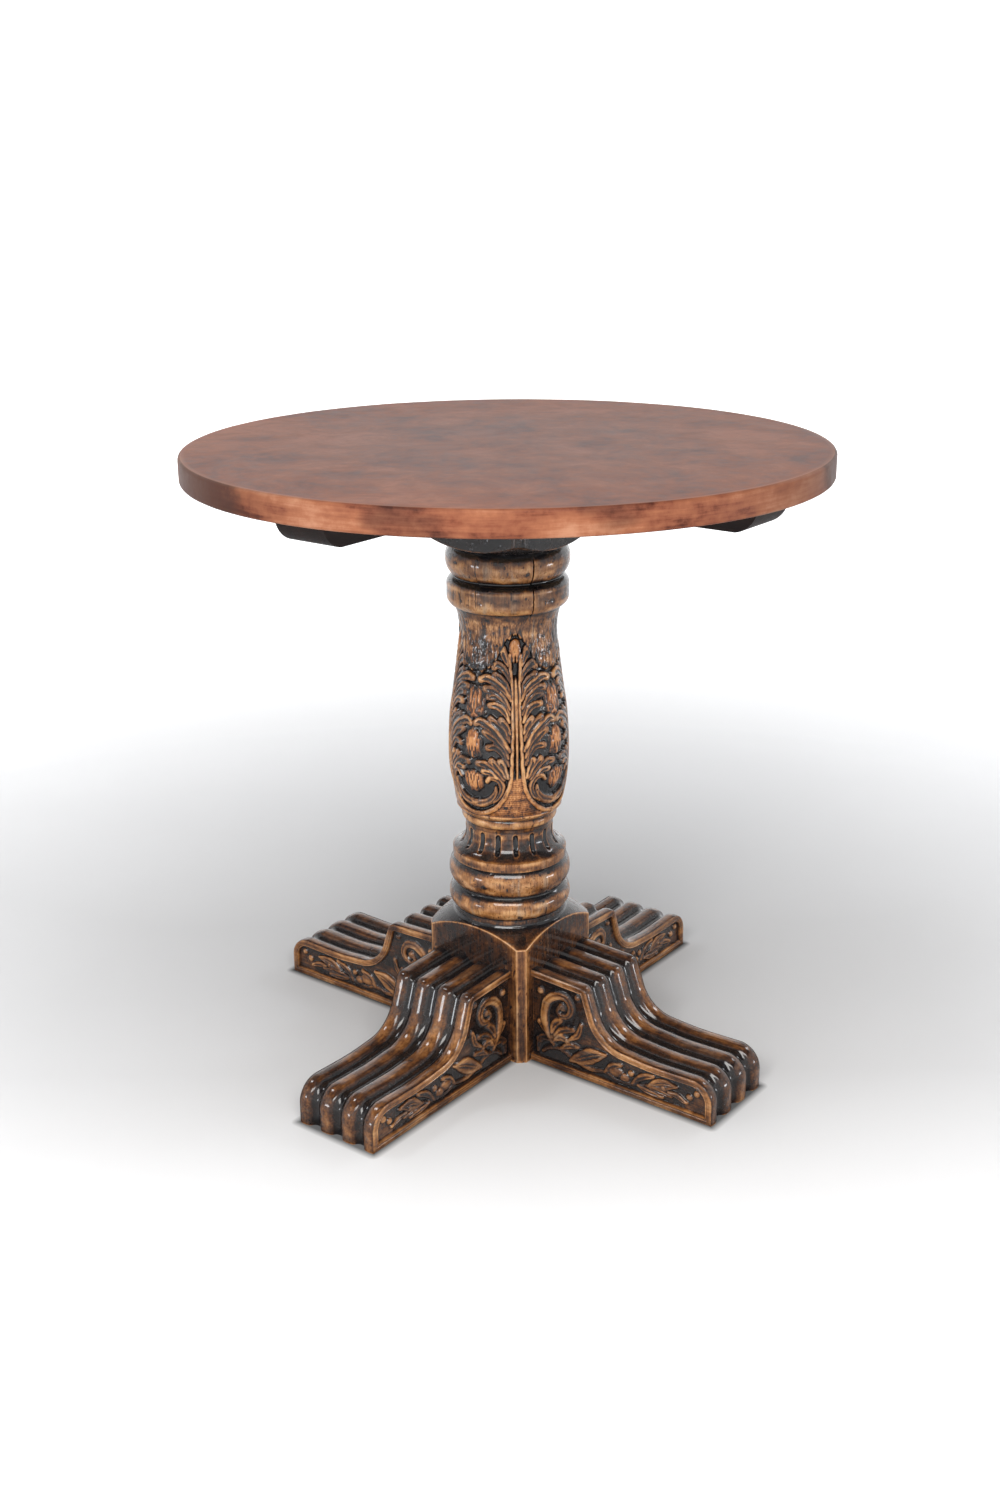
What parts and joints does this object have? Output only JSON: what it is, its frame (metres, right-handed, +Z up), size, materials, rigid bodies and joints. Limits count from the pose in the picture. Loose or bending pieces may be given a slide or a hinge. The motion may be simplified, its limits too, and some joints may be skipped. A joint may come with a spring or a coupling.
{
  "type": "pedestal table",
  "caption": "Round copper-clad pedestal table: a turned and carved oak post on four reeded, carved sprawling feet, its top carried by crossed bearers.",
  "frame": {"origin": "on the floor, under the post's axis", "axes": "+Z up along the post; the feet and bearers lie along X and Y; the front is the corner between +X and -Y"},
  "size_m": [0.762, 0.762, 0.762],
  "materials": {
    "copper": "aged copper, satin, with darker patina",
    "tack_brass": "dull",
    "core_wood": "plain sawn",
    "bearer_oak": "dark stain, satin",
    "steel": "zinc plated",
    "carved_oak": "antiqued dark stain, worn crests, glossy lacquer",
    "dowel_wood": "plain beech"
  },
  "bodies": {
    "root": {"copper_sheet": "copper", "sheet_tacks": "tack_brass", "core_board_1": "core_wood", "core_board_2": "core_wood", "core_board_3": "core_wood", "core_board_4": "core_wood", "core_board_5": "core_wood", "bearer_lower": "bearer_oak", "bearer_upper": "bearer_oak", "bearer_screws": "steel", "coach_screws": "steel", "coach_washers": "steel", "pedestal_post": "carved_oak", "leg_front_left": "carved_oak", "leg_front_right": "carved_oak", "leg_back_right": "carved_oak", "leg_back_left": "carved_oak", "dowels_front_left": "dowel_wood", "dowels_front_right": "dowel_wood", "dowels_back_right": "dowel_wood", "dowels_back_left": "dowel_wood"}
  },
  "joints": []
}
